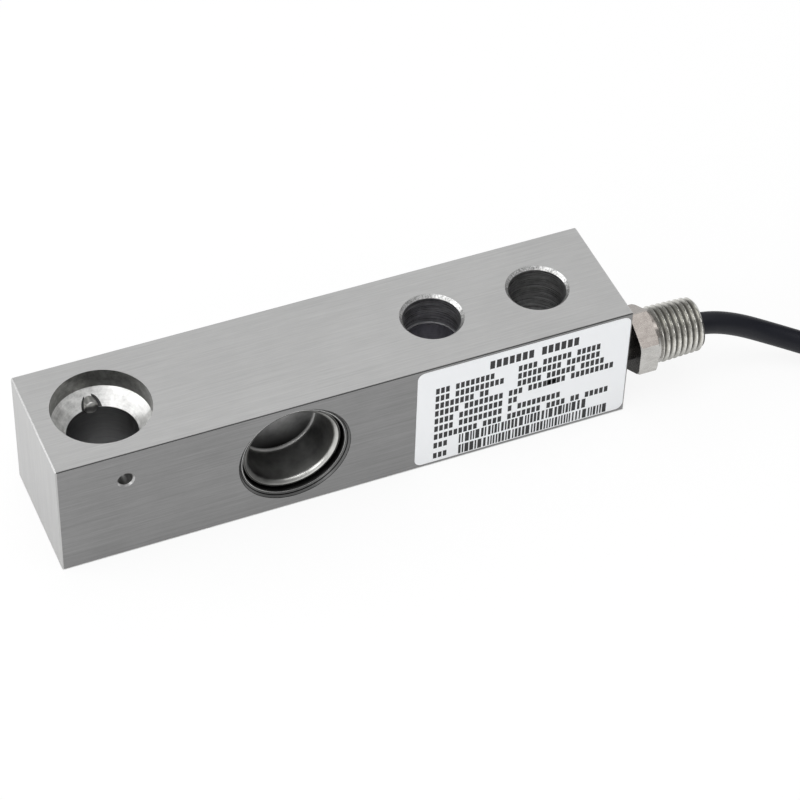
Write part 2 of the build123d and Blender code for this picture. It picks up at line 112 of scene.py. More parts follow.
class Finish:
    """A material, or the world, as its nodes are put together."""

    def __init__(self, owner):
        owner.use_nodes = True
        self.owner = owner
        self.tree = owner.node_tree
        self.tree.nodes.clear()

    def node(self, kind, settings=None, inputs=None, output=0):
        made = self.tree.nodes.new(kind)
        for name, value in (settings or {}).items():
            setattr(made, name, value)
        for name, value in (inputs or {}).items():
            if isinstance(value, Value):
                self.tree.links.new(value.socket, made.inputs[name])
            else:
                made.inputs[name].default_value = value
        return Value(self, made.outputs[output])

    def vector_math(self, operation, first, second=(0, 0, 0), output=0):
        inputs = {0: first, 1: second}
        return self.node("ShaderNodeVectorMath", {"operation": operation}, inputs, output)

    def place(self):
        """Where a point of the piece is, in metres, in the frame of the whole object."""
        return self.node("ShaderNodeTexCoord", {}, {}, "Object")

    def normal(self):
        return self.node("ShaderNodeTexCoord", {}, {}, "Normal")

    def along(self, vector, axis):
        """One part of a vector, 0 for X, 1 for Y and 2 for Z."""
        return self.node("ShaderNodeSeparateXYZ", {}, {0: vector}, axis)

    def stretched(self, vector, scales):
        return self.vector_math("MULTIPLY", vector, scales)

    def place_in_mm(self):
        return self.stretched(self.place(), (1 / MM, 1 / MM, 1 / MM))

    def distance(self, vector, centre, axes):
        """How far a point is from an axis through a centre; axes has 0 along that axis."""
        apart = self.vector_math("SUBTRACT", vector, centre)
        return self.vector_math("LENGTH", self.stretched(apart, axes), output=1)

    def noise(self, vector, scale, detail=3.0, roughness=0.55):
        inputs = {"Vector": vector, "Scale": scale, "Detail": detail, "Roughness": roughness}
        return self.node("ShaderNodeTexNoise", {}, inputs, "Fac")

    def blend(self, amount, first, second):
        """A colour between two others."""
        inputs = {"Factor": amount, 6: first, 7: second}
        return self.node("ShaderNodeMix", {"data_type": "RGBA"}, inputs, 2)

    def layered(self, base, *layers):
        """A colour with others laid over it in turn, each where its mask is 1."""
        for mask, over in layers:
            base = self.blend(mask, base, over)
        return base

    def bump(self, height, distance, strength=1.0):
        inputs = {"Height": height, "Distance": distance, "Strength": strength}
        return self.node("ShaderNodeBump", {}, inputs)

    def finished(self, shader, kind="ShaderNodeOutputMaterial"):
        output = self.tree.nodes.new(kind)
        self.tree.links.new(shader.socket, output.inputs["Surface"])
        return self.owner

    def principled(self, inputs):
        """The material, with a Principled shader that has these inputs."""
        return self.finished(self.node("ShaderNodeBsdfPrincipled", {}, inputs))


def colour(red, green, blue):
    return (red, green, blue, 1.0)


def grey(level):
    return colour(level, level, level)


def new_piece(name, points, faces, smooth_angle=30.0):
    """A mesh object from its points and faces, in the row frame."""
    mesh = bpy.data.meshes.new(name)
    mesh.from_pydata([tuple(point) for point in points], [], faces)
    mesh.validate()
    mesh.shade_smooth()
    mesh.set_sharp_from_angle(angle=math.radians(smooth_angle))
    piece = bpy.data.objects.new(name, mesh)
    bpy.context.scene.collection.objects.link(piece)
    return piece


floor_half = 1.5
floor_corners = [
    (-floor_half, -floor_half, 0),
    (floor_half, -floor_half, 0),
    (floor_half, floor_half, 0),
    (-floor_half, floor_half, 0),
]
floor = new_piece("floor", floor_corners, [(0, 1, 2, 3)])

# The sheet glows for the rays that see it, and under the bar it doesn't.
bar_start, bar_end, half_width = -15.2, 118.0, 15.2
glow_shares = {"Is Camera Ray": 0.88, "Is Glossy Ray": 0.5, "Is Transmission Ray": 0.75}
paper = Finish(bpy.data.materials.new("white_floor"))
rays = paper.node("ShaderNodeLightPath").socket.node
glow = sum(Value(paper, rays.outputs[ray]) * share for ray, share in glow_shares.items())
floor_place = paper.place_in_mm()
along_bar = (paper.along(floor_place, 0) - (bar_start + bar_end) / 2).size()
across_bar = paper.along(floor_place, 1).size()
under_bar = (across_bar < half_width) * (along_bar < (bar_end - bar_start) / 2)
lit = paper.node("ShaderNodeBsdfDiffuse", {}, {"Color": grey(0.9)})
bright = paper.node("ShaderNodeEmission", {}, {"Color": grey(1.0), "Strength": 1.0})
sheet = paper.node("ShaderNodeMixShader", {}, {0: glow * (1 - under_bar), 1: lit, 2: bright})
floor.data.materials.append(paper.finished(sheet))


# Studio light. A soft pale room, with large soft lamps over the left end and behind the bar.
world = bpy.data.worlds.new("studio")
bpy.context.scene.world = world
room = Finish(world)
room_light = room.node("ShaderNodeBackground", {}, {"Color": grey(1.0), "Strength": 0.45})
room.finished(room_light, "ShaderNodeOutputWorld")

lamp_target = Vector((0.04, 0, 0))
for name, place, size, power in (
    ("top_lamp", (0.1, -0.1, 1.1), (0.9, 0.9), 6.0),
    ("left_lamp", (-0.9, 0.35, 0.45), (0.8, 0.8), 5.0),
    ("back_lamp", (0.46, 1.03, 1.14), (1.6, 1.2), 2.7),
    ("front_lamp", (-0.75, -0.6, 0.62), (0.7, 0.7), 3.4),
):
    lamp_data = bpy.data.lights.new(name, "AREA")
    lamp_data.shape = "RECTANGLE"
    lamp_data.size, lamp_data.size_y = size
    lamp_data.energy = power
    lamp = bpy.data.objects.new(name, lamp_data)
    lamp.location = place
    lamp.rotation_euler = (lamp_target - Vector(place)).to_track_quat("-Z", "Y").to_euler()
    bpy.context.scene.collection.objects.link(lamp)


# Signal cable. Black jacketed, 5.2 mm thick and 3 m long. It droops out of the fitting to the
# floor, and what the photograph does not show is wound in an oblong coil in line with the bar,
# of five layers of two turns, which a tie holds.
cable_radius = 2.6
fitting_y, fitting_z = -9.2, 15.0
route = [
    (129.6, fitting_y, fitting_z),
    (137.4, fitting_y, fitting_z),
    (146.3, -9.8, 12.7),
    (157.3, -12.0, 7.0),
    (171.5, -20.0, cable_radius),
    (183.7, -24.4, cable_radius),
    (197.4, -30.2, cable_radius),
]

coil_start_x, coil_y = 203.0, -9.4
coil_straight = 88.0
turn_radii = (20.8, 15.6)
coil_layers = 5
coil_height = 2 * cable_radius * coil_layers
straight_points, fold_points = 4, 6
turn_points = 2 * (straight_points + fold_points)
fold_step = math.pi / fold_points

# A curve of this order runs inside the points of a fold. This is its radius over theirs, as the
# mean of that at a span's end and that at its middle.
fold_pull = (math.cos(fold_step / 2) + 0.75 + 0.25 * math.cos(fold_step)) / 2


def on_coil(radius, index, level):
    """A point of a turn: along the front, round the far fold, back, and round the near fold."""
    if index < straight_points:
        share = (index + 0.5) / straight_points
        return coil_start_x + coil_straight * share, coil_y - radius, level
    index -= straight_points
    far = index < fold_points
    if not far:
        index -= fold_points
        if index < straight_points:
            share = 1 - (index + 0.5) / straight_points
            return coil_start_x + coil_straight * share, coil_y + radius, level
        index -= straight_points
    angle = (index + 0.5) * fold_step + (-math.pi / 2 if far else math.pi / 2)
    fold_x = coil_start_x + (coil_straight if far else 0.0)
    wide = radius / fold_pull
    return fold_x + wide * math.cos(angle), coil_y + wide * math.sin(angle), level


def clamped(value):
    return min(max(value, 0.0), 1.0)


# Each turn steps to the next place on its way back. A step up comes before a step aside, so that
# the turns pass clear of each other, and the last turn climbs onto the coil's top.
climb_from, shift_from, step_points = 9, 12, 4
sleeve_length, sleeve_radius = 12.0, 3.0
sleeve_axis = coil_height + sleeve_radius
turns = []
for layer in range(coil_layers):
    for radius in turn_radii if layer % 2 == 0 else turn_radii[::-1]:
        turns.append((radius, cable_radius * (2 * layer + 1)))
turns.append((turn_radii[1], sleeve_axis))
coil_points = []
for (radius, level), (next_radius, next_level) in zip(turns, turns[1:]):
    for index in range(turn_points):
        climb = clamped((index - climb_from) / step_points)
        shift = clamped((index - shift_from) / step_points)
        radius_here = radius + (next_radius - radius) * shift
        level_here = level + (next_level - level) * climb
        coil_points.append(on_coil(radius_here, index, level_here))

# The cable's end lies along the middle of the coil's front run, turned a little.
end_run, end_turn = 46.0, math.radians(4.0)
end_way = Vector((math.cos(end_turn), -math.sin(end_turn), 0))
end_side = Vector((math.sin(end_turn), math.cos(end_turn), 0))
end_middle = Vector((coil_start_x + end_run, coil_y - sum(turn_radii) / 2, 0))


def on_top(along, aside, level):
    """A point over the coil, along the cable's end from the sleeve's far face."""
    return end_middle + end_way * along + end_side * aside + Vector((0, 0, level))


cable_end = [on_top(along, 0.0, sleeve_axis) for along in (-32.0, -24.0, -sleeve_length)]
tube_steps = 8


def tube_curve(name, points, radius):
    """An open smooth curve with a round section, from control points in millimetres.

    Its points carry the tube's radius, because a curve's box grows by what they say.
    """
    curve = bpy.data.curves.new(name, "CURVE")
    curve.dimensions = "3D"
    curve.bevel_depth = 1.0
    curve.bevel_resolution = tube_steps
    curve.resolution_u = tube_steps
    curve.use_fill_caps = True
    spline = curve.splines.new("NURBS")
    spline.points.add(len(points) - 1)
    for slot, point in zip(spline.points, points):
        slot.co = (*(Vector(point) * MM), 1.0)
        slot.radius = radius * MM
    spline.order_u = 3
    spline.use_endpoint_u = True
    piece = bpy.data.objects.new(name, curve)
    bpy.context.scene.collection.objects.link(piece)
    return piece


signal_cable = tube_curve("signal_cable", route + coil_points + cable_end, cable_radius)
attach(signal_cable, "root")
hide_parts("cable_run", "cable_coil", "cable_tail")

jacket = Finish(bpy.data.materials.new("cable_jacket"))
jacket_grain = jacket.noise(jacket.place(), 900.0, 4.0)
jacket_clouds = jacket.noise(jacket.place(), 60.0)
jacket_dark, jacket_pale = colour(0.003, 0.0035, 0.007), colour(0.006, 0.007, 0.013)
jacket_material = jacket.principled(
    {
        "Base Color": jacket.blend(jacket_clouds, jacket_dark, jacket_pale),
        "Roughness": 0.36 + jacket_grain * 0.14,
        "Specular IOR Level": 0.3,
        "Normal": jacket.bump(jacket_grain, 0.00003, 0.4),
    }
)
signal_cable.data.materials.append(jacket_material)


# Bar. One piece of stainless steel, sawn, milled and ground along its length, with the load
# hole, the two mounting holes, the gauge pockets and the wire bores machined into it.
bar_height, edge_width = 30.0, 0.25
inner_hole_x, outer_hole_x = 76.2, 101.6
pocket_x, pocket_z = 38.2, 15.6

# Limits of the bar's faces. Each has some hundredths added, so that its mask takes in the face.
side_from, top_from = 15.19, 29.98
load_bore_to, seat_to, seat_edge = 7.82, 11.02, 25.28
mount_bore_to, mouth_to, mouth_from = 6.53, 7.3, 29.28
step_from, step_to = 21.97, 22.03
bevel_to, bevel_from = 13.0, 14.2

steel = Finish(bpy.data.materials.new("ground_steel"))
steel_place = steel.place_in_mm()
length_noise = steel.noise(steel.stretched(steel_place, (0.045, 2.6, 2.6)), 1.0, 5.0, 0.7)
fine_noise = steel.noise(steel.stretched(steel_place, (0.16, 9.0, 9.0)), 1.0, 3.0, 0.7)
end_noise = steel.noise(steel.stretched(steel_place, (2.6, 2.6, 0.06)), 1.0, 4.0, 0.7)
ring_noise = steel.noise(steel.stretched(steel_place, (0.12, 0.12, 5.0)), 1.0, 3.0, 0.7)
chatter_noise = steel.noise(steel.stretched(steel_place, (2.4, 2.4, 0.5)), 1.0, 3.0, 0.7)
patches = steel.noise(steel_place, 0.6, 5.0, 0.65)
clouds = steel.noise(steel_place, 0.055, 3.0)

height = steel.along(steel_place, 2)
aside = steel.along(steel_place, 1).size()
load_distance = steel.distance(steel_place, (0, 0, 0), (1, 1, 0))
inner_distance = steel.distance(steel_place, (inner_hole_x, 0, 0), (1, 1, 0))
outer_distance = steel.distance(steel_place, (outer_hole_x, 0, 0), (1, 1, 0))
pocket_distance = steel.distance(steel_place, (pocket_x, 0, pocket_z), (1, 0, 1))

on_end = steel.along(steel.normal(), 0).size() > 0.7
on_side = aside > side_from
under_top = height < top_from
# The thin edge along the top's long sides is painted dark: painted shade.
on_shaded_edge = (aside > half_width - edge_width) * (height > bar_height - edge_width) * under_top
in_load_bore = load_distance < load_bore_to
in_seat = (load_distance < seat_to) * (load_distance > load_bore_to) * (height < seat_edge)
in_counterbore = (load_distance < seat_to) * (height > seat_edge) * under_top
in_mount_bores = (inner_distance < mount_bore_to) + (outer_distance < mount_bore_to)
near_mouths = (inner_distance < mouth_to) + (outer_distance < mouth_to)
in_mount_mouths = near_mouths * (height > mouth_from) * under_top
under_step = (inner_distance < mount_bore_to) * (height < step_from)
on_step = (inner_distance < mount_bore_to) * (height > step_from) * (height < step_to)
on_bevel = (pocket_distance < bevel_to) * (aside > bevel_from) * (aside < side_from)
in_holes = in_load_bore + in_seat + in_counterbore + in_mount_bores + in_mount_mouths

# Grinding lines run along the bar, down its ends and round its holes.
lines = length_noise * 0.6 + fine_noise * 0.4
lines = lines * (1 - on_end) + end_noise * on_end
lines = lines * (1 - in_holes) + ring_noise * in_holes
shade = (lines - 0.5) * 2.0 + (clouds - 0.5) * 0.4 + (patches - 0.5) * 0.15
shade = (shade + 0.5).limited(0.0, 1.0)
mottle = ((patches - 0.5) * 2.2 + (ring_noise - 0.5) * 0.8 + 0.5).limited(0.0, 1.0)
scratches = ((ring_noise - 0.5) * 2.6 + (patches - 0.5) * 0.8 + 0.45).limited(0.0, 1.0)
top_colour = steel.blend(shade, grey(0.40), colour(0.58, 0.58, 0.575))
# The sides get a darker copy of the top's colour: painted shade.
shaded_side_colour = steel.blend(shade, grey(0.19), grey(0.325))
bore_colour = steel.blend(shade, colour(0.22, 0.22, 0.225), colour(0.36, 0.36, 0.365))
mount_colour = steel.blend(scratches, colour(0.2, 0.2, 0.205), grey(0.95))
smooth_colour = steel.blend(shade, colour(0.42, 0.415, 0.45), colour(0.54, 0.53, 0.57))
step_colour = colour(0.26, 0.26, 0.27)
counter_colour = steel.blend(mottle, colour(0.21, 0.21, 0.2), colour(0.5, 0.5, 0.49))
seat_colour = steel.blend(mottle, colour(0.52, 0.52, 0.51), colour(0.95, 0.95, 0.94))
mouth_colour = steel.blend(chatter_noise.contrast(2.6), grey(0.22), colour(0.9, 0.9, 0.89))

# The pocket's bevel is turned in fine rings. Its darkness is painted shade, as is the dark line
# round its outer edge, and another dark line runs round its middle.
ring_place = steel.node("ShaderNodeCombineXYZ", {}, {0: pocket_distance * 5.0})
bevel_rings = steel.noise(ring_place, 1.0, 2.0).contrast(3.0, 0.4)
outer_shade_line = (pocket_distance - 12.95).size() < 0.09
inner_line = (pocket_distance - 12.42).size() < 0.1
shaded_bevel_colour = steel.blend(bevel_rings, grey(0.09), colour(0.27, 0.27, 0.268))
shaded_bevel_colour = steel.blend(inner_line + outer_shade_line, shaded_bevel_colour, grey(0.015))

# Painted shade: a dark ring on both sides of the stop pin, where its cross hole opens in the
# seat.
pin_shade_x, pin_shade_z, pin_shade_radius = 0.15, 22.1, 2.25
pin_shade_left, pin_shade_right = -1.0, 0.6
pin_shade_distance = steel.distance(steel_place, (pin_shade_x, 0, pin_shade_z), (1, 0, 1))
pin_shade_aside = steel.along(steel_place, 0) - pin_shade_x
beside_pin = (pin_shade_aside > pin_shade_right) + (pin_shade_aside < pin_shade_left)
in_pin_shade = (pin_shade_distance < pin_shade_radius) * in_seat * beside_pin

steel_colour = steel.layered(
    top_colour,
    (on_side, shaded_side_colour),
    (on_shaded_edge, grey(0.13)),
    (on_bevel, shaded_bevel_colour),
    (in_load_bore, bore_colour),
    (in_mount_bores, mount_colour),
    (under_step, smooth_colour),
    (on_step, step_colour),
    (in_counterbore, counter_colour),
    (in_seat, seat_colour),
    (in_mount_mouths, mouth_colour),
    (in_pin_shade, grey(0.06)),
)
steel_material = steel.principled(
    {
        "Base Color": steel_colour,
        "Metallic": 1.0,
        "Roughness": 0.36 + (lines - 0.5) * 0.25 + in_seat * (mottle * 0.1 + 0.02),
        "Normal": steel.bump(lines, 0.00002, 0.35),
    }
)


def dress(name, material):
    """Gives a carried over node its finish."""
    mesh = nodes[name].data
    mesh.materials.clear()
    mesh.materials.append(material)


dress("beam_body", steel_material)


# Load stop pin. A hard steel dowel with a domed end, pressed in from the front face; its end
# stands out of the seat's far side and keys the loading foot.
def ring_faces(ring, other):
    """Faces between two rings of point numbers. A ring of one number is a point on the axis."""
    count = max(len(ring), len(other))
    if count == 1:
        return []
    faces = []
    for index in range(count):
        after = (index + 1) % count
        if len(ring) == 1:
            faces.append((ring[0], other[index], other[after]))
        elif len(other) == 1:
            faces.append((ring[index], other[0], ring[after]))
        else:
            faces.append((ring[index], other[index], other[after], ring[after]))
    return faces


def turned(name, outline, origin, axis, first_side, segments=144, closed=True):
    """A piece turned about an axis. Outline points are (radius, along), in millimetres."""
    origin, axis, first_side = Vector(origin), Vector(axis), Vector(first_side)
    second_side = axis.cross(first_side)
    points, rings = [], []
    for radius, along in outline:
        if radius < 1e-6:
            rings.append([len(points)])
            points.append((origin + axis * along) * MM)
            continue
        rings.append(list(range(len(points), len(points) + segments)))
        for index in range(segments):
            angle = 2 * math.pi * index / segments
            arm = first_side * math.cos(angle) + second_side * math.sin(angle)
            points.append((origin + axis * along + arm * radius) * MM)
    pairs = list(zip(rings, rings[1:]))
    if closed:
        pairs.append((rings[-1], rings[0]))
    faces = [face for ring, other in pairs for face in ring_faces(ring, other)]
    return new_piece(name, points, faces)


pin_radius, pin_length, pin_dome = 1.62, 5.8, 0.75
pin_tip_y, pin_height = 7.0, 22.4
dome_steps = 10
pin_outline = []
for index in range(dome_steps + 1):
    angle = math.pi / 2 * index / dome_steps
    pin_outline.append((pin_radius * math.sin(angle), pin_dome * (1 - math.cos(angle))))
pin_outline += [(pin_radius, pin_length), (0, pin_length)]
stop_pin = turned(
    "stop_pin",
    pin_outline,
    (0, pin_tip_y, pin_height),
    (0, 1, 0),
    (1, 0, 0),
    segments=72,
    closed=False,
)
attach(stop_pin, "root")
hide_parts("load_stop_pin")

dowel = Finish(bpy.data.materials.new("dowel_steel"))
dowel_grain = dowel.noise(dowel.stretched(dowel.place_in_mm(), (1.6, 0.5, 1.6)), 1.0, 3.0)
dowel_dark, dowel_pale = colour(0.28, 0.28, 0.27), colour(0.6, 0.6, 0.58)
dowel_material = dowel.principled(
    {
        "Base Color": dowel.blend(dowel_grain, dowel_dark, dowel_pale),
        "Metallic": 1.0,
        "Roughness": 0.3 + dowel_grain * 0.12,
    }
)
stop_pin.data.materials.append(dowel_material)


# Sealing cups. Drawn from thin stainless sheet, with a skirt, one convolution and a bell mouth,
# and welded at the foot of each pocket's bevel, so that they seal the gauges and the web bends.
def turned_by(arm, angle):
    """A flat vector turned by an angle."""
    return Vector(
        (
            arm.x * math.cos(angle) - arm.y * math.sin(angle),
            arm.x * math.sin(angle) + arm.y * math.cos(angle),
        )
    )


def arced(points, radii, step=12.0):
    """A bent line with its corners rounded, as close points."""
    line = [Vector(points[0])]
    for before, corner, after, radius in zip(points, points[1:], points[2:], radii):
        before, corner, after = Vector(before), Vector(corner), Vector(after)
        way_in = (corner - before).normalized()
        way_out = (after - corner).normalized()
        turn = way_in.angle(way_out)
        start = corner - way_in * (radius * math.tan(turn / 2))
        side = 1 if way_in.x * way_out.y - way_in.y * way_out.x > 0 else -1
        centre = start + Vector((-way_in.y, way_in.x)) * (side * radius)
        steps = max(2, math.ceil(math.degrees(turn) / step))
        for index in range(steps + 1):
            line.append(centre + turned_by(start - centre, side * turn * index / steps))
    line.append(Vector(points[-1]))
    return line


def thickened(line, thickness):
    """Both sides of a sheet whose middle is a close line, as one closed outline."""
    sides = []
    for index in range(len(line)):
        ahead = line[min(index + 1, len(line) - 1)] - line[max(index - 1, 0)]
        sides.append(Vector((-ahead.y, ahead.x)).normalized() * (thickness / 2))
    upper = [point + side for point, side in zip(line, sides)]
    lower = [point - side for point, side in zip(line, sides)]
    return upper + lower[::-1]


# The sheet's middle, as radii and depths below the bar's side.
cup_sheet = 0.3
skirt_radius, skirt_edge, groove_depth = 11.9, 0.87, 3.8
crest_radius_outside, crest_radius_inside, crest_depth = 11.35, 10.05, 2.05
wall_radius, wall_depth = 9.85, 5.2
floor_radius, floor_depth = 9.35, 11.35
cup_line = arced(
    [
        (skirt_radius, skirt_edge),
        (skirt_radius, groove_depth),
        (crest_radius_outside, groove_depth),
        (crest_radius_outside, crest_depth),
        (crest_radius_inside, crest_depth),
        (wall_radius, wall_depth),
        (floor_radius, floor_depth),
        (0, floor_depth),
    ],
    [0.26, 0.26, 0.3, 1.05, 20.0, 0.8],
)

cup_steel = Finish(bpy.data.materials.new("drawn_steel"))
cup_place = cup_steel.place_in_mm()
cup_radius = cup_steel.distance(cup_place, (pocket_x, 0, pocket_z), (1, 0, 1))
cup_level = half_width - cup_steel.along(cup_place, 1).size()
cup_aside = cup_steel.along(cup_place, 0) - pocket_x
cup_upward = cup_steel.along(cup_place, 2) - pocket_z
cup_clouds = cup_steel.noise(cup_place, 0.25, 3.0)
cup_patches = cup_steel.noise(cup_place, 0.12, 4.0, 0.6).contrast(2.4)
weld_grain = cup_steel.noise(cup_place, 1.4, 4.0)

weld_from, weld_depth = 11.6, 1.2
bead_from, bead_to = 11.92, 12.02
groove_from, crest_from, crest_to_depth = 11.3, 10.75, 2.9
crest_line_radius, crest_line_half = 10.95, 0.08
corner_from, corner_depth, cup_floor_depth = 8.5, 10.5, 11.1
# The groove and the skirt by the weld are masked for painted shade; the weld bead keeps a metal
# colour.
in_weld_shade = (cup_radius > weld_from) * (cup_level < weld_depth)
on_bead = in_weld_shade * (cup_radius > bead_from) * (cup_radius < bead_to)
in_groove_shade = (cup_radius > groove_from) * (cup_level > weld_depth)
on_crest = (cup_radius > crest_from) * (cup_level < crest_to_depth)
near_crest_line = (cup_radius - crest_line_radius).size() < crest_line_half
on_crest_shade_line = near_crest_line * (cup_level < crest_to_depth)
on_mouth = (1 - cup_level.limited(2.2, 5.6)) * (1 - in_weld_shade)
on_floor = cup_level > cup_floor_depth
in_corner = (cup_radius > corner_from) * (cup_level > corner_depth)
# Painted highlight: it grows towards the lower right of the mouth.
highlight_towards_right = (cup_aside * 0.85 - cup_upward * 0.5).limited(-1.0, 10.0)

# The wall is darkened as painted shade, with random patches, and the floor fades to black
# towards its bottom, painted shade.
shaded_wall_colour = cup_steel.blend(cup_patches, grey(0.16), colour(0.5, 0.5, 0.495))
floor_shade_colour = cup_steel.blend(cup_upward.limited(-8.0, 1.0), grey(0.02), shaded_wall_colour)
# The bell mouth: painted shade on its left, a painted highlight on its right, painted shade on
# its crest and a painted dark line round that.
mouth_shade_colour = cup_steel.blend(cup_patches, colour(0.07, 0.07, 0.068), colour(0.15, 0.15, 0.145))
mouth_highlight_colour = cup_steel.blend(cup_patches, colour(0.5, 0.5, 0.48), colour(0.9, 0.9, 0.87))
crest_shade_colour = cup_steel.blend(cup_patches, colour(0.1, 0.1, 0.095), colour(0.28, 0.28, 0.27))
painted_bell_light = cup_steel.layered(
    cup_steel.blend(highlight_towards_right, mouth_shade_colour, mouth_highlight_colour),
    (on_crest, crest_shade_colour),
    (on_crest_shade_line, grey(0.02)),
)
# A painted highlight round the floor's corner.
corner_highlight_colour = cup_steel.blend(cup_patches, colour(0.25, 0.25, 0.245), colour(0.6, 0.6, 0.59))
weld_colour = cup_steel.blend(weld_grain, colour(0.4, 0.4, 0.39), colour(0.8, 0.8, 0.79))
cup_colour = cup_steel.layered(
    shaded_wall_colour,
    (on_floor, floor_shade_colour),
    (on_mouth, painted_bell_light),
    (in_corner, corner_highlight_colour),
    (in_groove_shade, grey(0.03)),
    (in_weld_shade, grey(0.08)),
    (on_bead, weld_colour),
)
cup_material = cup_steel.principled(
    {
        "Base Color": cup_colour,
        "Metallic": 1.0,
        "Roughness": 0.33 + cup_clouds * 0.08,
    }
)

cup_outline = [tuple(point) for point in thickened(cup_line, cup_sheet)]
for side, name in ((-1, "front"), (1, "rear")):
    mouth_centre = (pocket_x, side * half_width, pocket_z)
    cup = turned(name + "_cup", cup_outline, mouth_centre, (0, -side, 0), (1, 0, 0))
    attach(cup, "root")
    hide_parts(name + "_sealing_cup")
    cup.data.materials.append(cup_material)


# Gauges and circuits on the web. Foil gauges on amber film, green printed rings, tinned leads,
# black resistors and thin insulated wires, all glued or soldered and then sealed in.
grain_scale, grain_height = 400.0, 0.00001


def plain_finish(name, dark, light, roughness, metallic=0.0):
    """A finish that varies a little in shade and gloss over a piece."""
    made = Finish(bpy.data.materials.new(name))
    grains = made.noise(made.place(), grain_scale, 3.0)
    return made.principled(
        {
            "Base Color": made.blend(grains, colour(*dark), colour(*light)),
            "Metallic": metallic,
            "Roughness": roughness + grains * 0.1,
            "Normal": made.bump(grains, grain_height, 0.5),
        }
    )


amber_film = plain_finish("amber_film", (0.45, 0.2, 0.03), (0.62, 0.32, 0.06), 0.3)
circuit_green = plain_finish("circuit_green", (0.02, 0.12, 0.04), (0.03, 0.18, 0.07), 0.25)
tinned = plain_finish("tinned_copper", (0.5, 0.49, 0.47), (0.7, 0.68, 0.65), 0.25, 1.0)
resistor_black = plain_finish("resistor_black", (0.02, 0.02, 0.02), (0.05, 0.05, 0.05), 0.4)
inner_red = plain_finish("inner_red", (0.4, 0.04, 0.03), (0.55, 0.07, 0.05), 0.3)
for side in ("front", "rear"):
    dress(side + "_strain_gauge", amber_film)
    dress(side + "_terminal_ring", circuit_green)
    dress(side + "_ribbon_leads", tinned)
dress("trim_resistors", resistor_black)
dress("bridge_wires", inner_red)
dress("rear_link_wires", inner_red)


# Feedthrough. A plated steel shell with pins held in fused glass, fitted into the wire channel
# at the bar's end, so that the gauges stay sealed from the cable.
shell_steel = plain_finish("shell_steel", (0.4, 0.38, 0.34), (0.55, 0.52, 0.47), 0.25, 1.0)
bead_glass = plain_finish("bead_glass", (0.05, 0.12, 0.09), (0.09, 0.18, 0.14), 0.1)
dress("feedthrough_shell", shell_steel)
dress("feedthrough_pins", shell_steel)
dress("feedthrough_glass", bead_glass)


# Cable fitting. Turned from hexagon bar, nickel plated, with a neck pressed into the bar's end
# and a stub with a taper thread of 18 turns to the inch for a conduit.
passage_radius = 3.1
neck_radius = 4.15
neck_start = bar_end - 6.0
hex_start = bar_end + 2.4
hex_end = hex_start + 4.6
hex_flats, hex_turned = 14.0, 7.6
hex_cone = math.radians(30.0)
relief_radius = 5.9
stub_start = hex_end + 1.2
stub_end = stub_start + 11.1
stub_bore, stub_bore_break = 4.6, 0.5
stub_bore_start = stub_end - 15.8
thread_pitch, thread_depth, thread_fade = 1.411, 0.85, 0.8
thread_flat, thread_flank = 0.08, 0.84
start_slope, end_slope, end_undercut = 1.2, 1.0, 0.15
crest_radius, crest_taper = 6.62, 1 / 32
angle_steps, thread_steps, break_steps = 144, 130, 5


def hex_radius(angle):
    """Distance to a hexagon's side, with corners at the top and bottom."""
    within = (math.degrees(angle) % 60.0) - 30.0
    return hex_flats / 2 / math.cos(math.radians(within))


def hex_row(x):
    """The hexagon's outline at one place, cut back by the cone that breaks its corners."""
    cone = hex_turned + min(x - hex_start, hex_end - x) / math.tan(hex_cone)
    angles = [2 * math.pi * index / angle_steps for index in range(angle_steps)]
    return [min(hex_radius(angle), cone) for angle in angles]


def ring_row(radius):
    return [radius] * angle_steps


def thread_row(x):
    """The thread's outline at one place: crest to root and back once in a turn."""
    from_start = x - stub_start
    crest = crest_radius - from_start * crest_taper
    depth = thread_depth * clamped(from_start / thread_fade)
    end_break = crest_radius - thread_depth - end_undercut + (stub_end - x) * end_slope
    start_break = relief_radius + from_start * start_slope
    row = []
    for index in range(angle_steps):
        phase = (from_start / thread_pitch - index / angle_steps) % 1.0
        wave = clamped((abs(phase * 2 - 1) - thread_flat) / thread_flank)
        row.append(min(crest - depth * wave, end_break, start_break))
    return row


hex_break = (hex_flats / 2 / math.cos(hex_cone) - hex_turned) * math.tan(hex_cone)
insets = [hex_break * index / break_steps for index in range(break_steps + 1)]
stub_places = [
    stub_start + (stub_end - stub_start) * index / thread_steps
    for index in range(1, thread_steps + 1)
]
rows = [
    (neck_start, ring_row(passage_radius)),
    (neck_start, ring_row(neck_radius)),
    (hex_start, ring_row(neck_radius)),
]
rows += [(hex_start + inset, hex_row(hex_start + inset)) for inset in insets]
rows += [(hex_end - inset, hex_row(hex_end - inset)) for inset in reversed(insets)]
rows += [(hex_end, ring_row(relief_radius)), (stub_start, ring_row(relief_radius))]
rows += [(x, thread_row(x)) for x in stub_places]
rows += [
    (stub_end, ring_row(stub_bore + stub_bore_break)),
    (stub_end - stub_bore_break, ring_row(stub_bore)),
    (stub_bore_start, ring_row(stub_bore)),
    (stub_bore_start, ring_row(passage_radius)),
]
fitting_points, fitting_rings = [], []
for x, radii in rows:
    first = len(fitting_points)
    fitting_rings.append(range(first, first + angle_steps))
    for index, radius in enumerate(radii):
        angle = 2 * math.pi * index / angle_steps
        y = fitting_y + radius * math.sin(angle)
        z = fitting_z + radius * math.cos(angle)
        fitting_points.append((x * MM, y * MM, z * MM))
fitting_faces = []
for ring, other in zip(fitting_rings, fitting_rings[1:] + fitting_rings[:1]):
    for index in range(angle_steps):
        after = (index + 1) % angle_steps
        fitting_faces.append((ring[index], ring[after], other[after], other[index]))
threaded_fitting = new_piece("threaded_fitting", fitting_points, fitting_faces, 28.0)
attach(threaded_fitting, "root")
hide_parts("cable_fitting")

